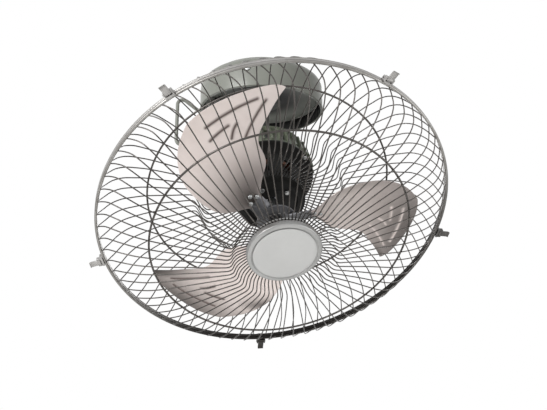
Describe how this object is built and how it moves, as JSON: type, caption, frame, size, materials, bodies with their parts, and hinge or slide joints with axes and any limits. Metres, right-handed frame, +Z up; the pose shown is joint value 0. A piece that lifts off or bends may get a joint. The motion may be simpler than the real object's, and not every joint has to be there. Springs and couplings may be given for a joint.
{
  "type": "orbital ceiling fan",
  "caption": "Caged ceiling fan whose tilted head is carried round in a circle by a geared turntable in its canopy, with a clamped tilt joint and a bent stay rod.",
  "frame": {"origin": "centre of the ceiling plate's top face, on the orbit axis", "axes": "+Z up into the ceiling along the orbit axis; the head is tilted towards -Y; +X is to the right of a person who looks at the fan's front"},
  "size_m": [0.5491, 0.4458, 0.443],
  "materials": {
    "canopy_paint": "satin grey paint",
    "frame_paint": "satin grey paint",
    "cover_paint": "satin green-grey paint",
    "motor_black": "satin black paint",
    "guard_wire": "plated wire",
    "rim_steel": "plated rim",
    "zinc": "zinc plated",
    "bearing_steel": "ground",
    "lamination": "stacked sheets",
    "winding": "enamelled wire",
    "contact_brass": "turned",
    "blade_aluminium": "rolled sheet",
    "badge_aluminium": "spun",
    "plate_aluminium": "bare plate",
    "nylon": "moulded",
    "dark_plastic": "moulded",
    "cream_plastic": "moulded",
    "insulator": "laminate"
  },
  "bodies": {
    "ceiling_mount": {"ceiling_plate": "canopy_paint", "spacer_posts": "zinc", "gear_plate": "zinc", "canopy_shell": "canopy_paint", "skirt_liner": "dark_plastic", "canopy_screws": "zinc", "gear_plate_screws": "zinc", "bearing_housing": "zinc", "bearing_outer_race": "bearing_steel", "bearing_balls": "bearing_steel", "orbit_motor": "zinc", "terminal_block": "cream_plastic", "brush_holder": "dark_plastic"},
    "pinion": {"drive_pinion": "nylon"},
    "turntable": {"turntable_disc": "canopy_paint", "spindle": "zinc", "bearing_inner_race": "bearing_steel", "spindle_nut": "zinc", "orbit_gear": "nylon", "slip_ring_disc": "insulator", "slip_rings": "contact_brass", "neck_casting": "frame_paint", "neck_screws": "zinc", "tilt_bolt": "zinc", "stay_rod": "frame_paint", "stay_clamp": "frame_paint"},
    "knob": {"clamp_knob": "dark_plastic"},
    "head": {"tilt_knuckle": "frame_paint", "bracket_screws": "zinc", "stay_bracket": "frame_paint", "motor_rear_cover": "cover_paint", "motor_body": "motor_black", "motor_front_cover": "motor_black", "through_bolts": "zinc", "stator_core": "lamination", "stator_windings": "winding", "motor_bearings": "bearing_steel", "guard_plate": "motor_black", "guard_screws": "zinc", "rear_guard_wires": "guard_wire", "rear_guard_rings": "guard_wire", "front_guard_wires": "guard_wire", "front_guard_rings": "guard_wire", "rim_band": "rim_steel", "clip_bases": "rim_steel", "badge_cup": "badge_aluminium", "badge_plate": "plate_aluminium"},
    "rotor": {"motor_shaft": "zinc", "rotor_core": "lamination", "blade_hub": "blade_aluminium", "blade_1": "blade_aluminium", "blade_2": "blade_aluminium", "blade_3": "blade_aluminium", "blade_rivets": "blade_aluminium", "shaft_nut": "dark_plastic"},
    "lever_1": {"clip_lever_1": "rim_steel"},
    "lever_2": {"clip_lever_2": "rim_steel"},
    "lever_3": {"clip_lever_3": "rim_steel"},
    "lever_4": {"clip_lever_4": "rim_steel"},
    "lever_5": {"clip_lever_5": "rim_steel"}
  },
  "joints": [
    {"name": "orbit_turn", "type": "hinge", "parent": "ceiling_mount", "child": "turntable", "pos_m": [0, 0, -0.036], "axis": [0, 0, 1], "continuous": true},
    {"name": "pinion_spin", "type": "hinge", "parent": "ceiling_mount", "child": "pinion", "pos_m": [-0.056, 0, -0.028], "axis": [0, 0, 1], "continuous": true},
    {"name": "head_tilt", "type": "hinge", "parent": "turntable", "child": "head", "pos_m": [0, 0.014, -0.126], "axis": [1, 0, 0], "range_deg": [-6, 36]},
    {"name": "knob_turn", "type": "hinge", "parent": "turntable", "child": "knob", "pos_m": [0.03, 0.014, -0.126], "axis": [1, 0, 0], "range_deg": [-360, 360]},
    {"name": "blade_spin", "type": "hinge", "parent": "head", "child": "rotor", "pos_m": [0, -0.09063, -0.27], "axis": [0, 0.5878, 0.809], "continuous": true},
    {"name": "clip_1", "type": "hinge", "parent": "head", "child": "lever_1", "pos_m": [0.27, -0.09298, -0.27324], "axis": [0, 0.809, -0.5878], "range_deg": [0, 80]},
    {"name": "clip_2", "type": "hinge", "parent": "head", "child": "lever_2", "pos_m": [0.09676, -0.2969, -0.12508], "axis": [0.9336, 0.2899, -0.2106], "range_deg": [0, 80]},
    {"name": "clip_3", "type": "hinge", "parent": "head", "child": "lever_3", "pos_m": [-0.18756, -0.25011, -0.15908], "axis": [0.7193, -0.562, 0.4083], "range_deg": [0, 80]},
    {"name": "clip_4", "type": "hinge", "parent": "head", "child": "lever_4", "pos_m": [-0.25034, -0.01115, -0.33269], "axis": [-0.3746, -0.7501, 0.545], "range_deg": [0, 80]},
    {"name": "clip_5", "type": "hinge", "parent": "head", "child": "lever_5", "pos_m": [0.0329, 0.12383, -0.43076], "axis": [-0.9925, 0.0986, -0.0716], "range_deg": [0, 80]}
  ],
  "couplings": [
    {"joint": "pinion_spin", "follows": "orbit_turn", "ratio": -3}
  ]
}
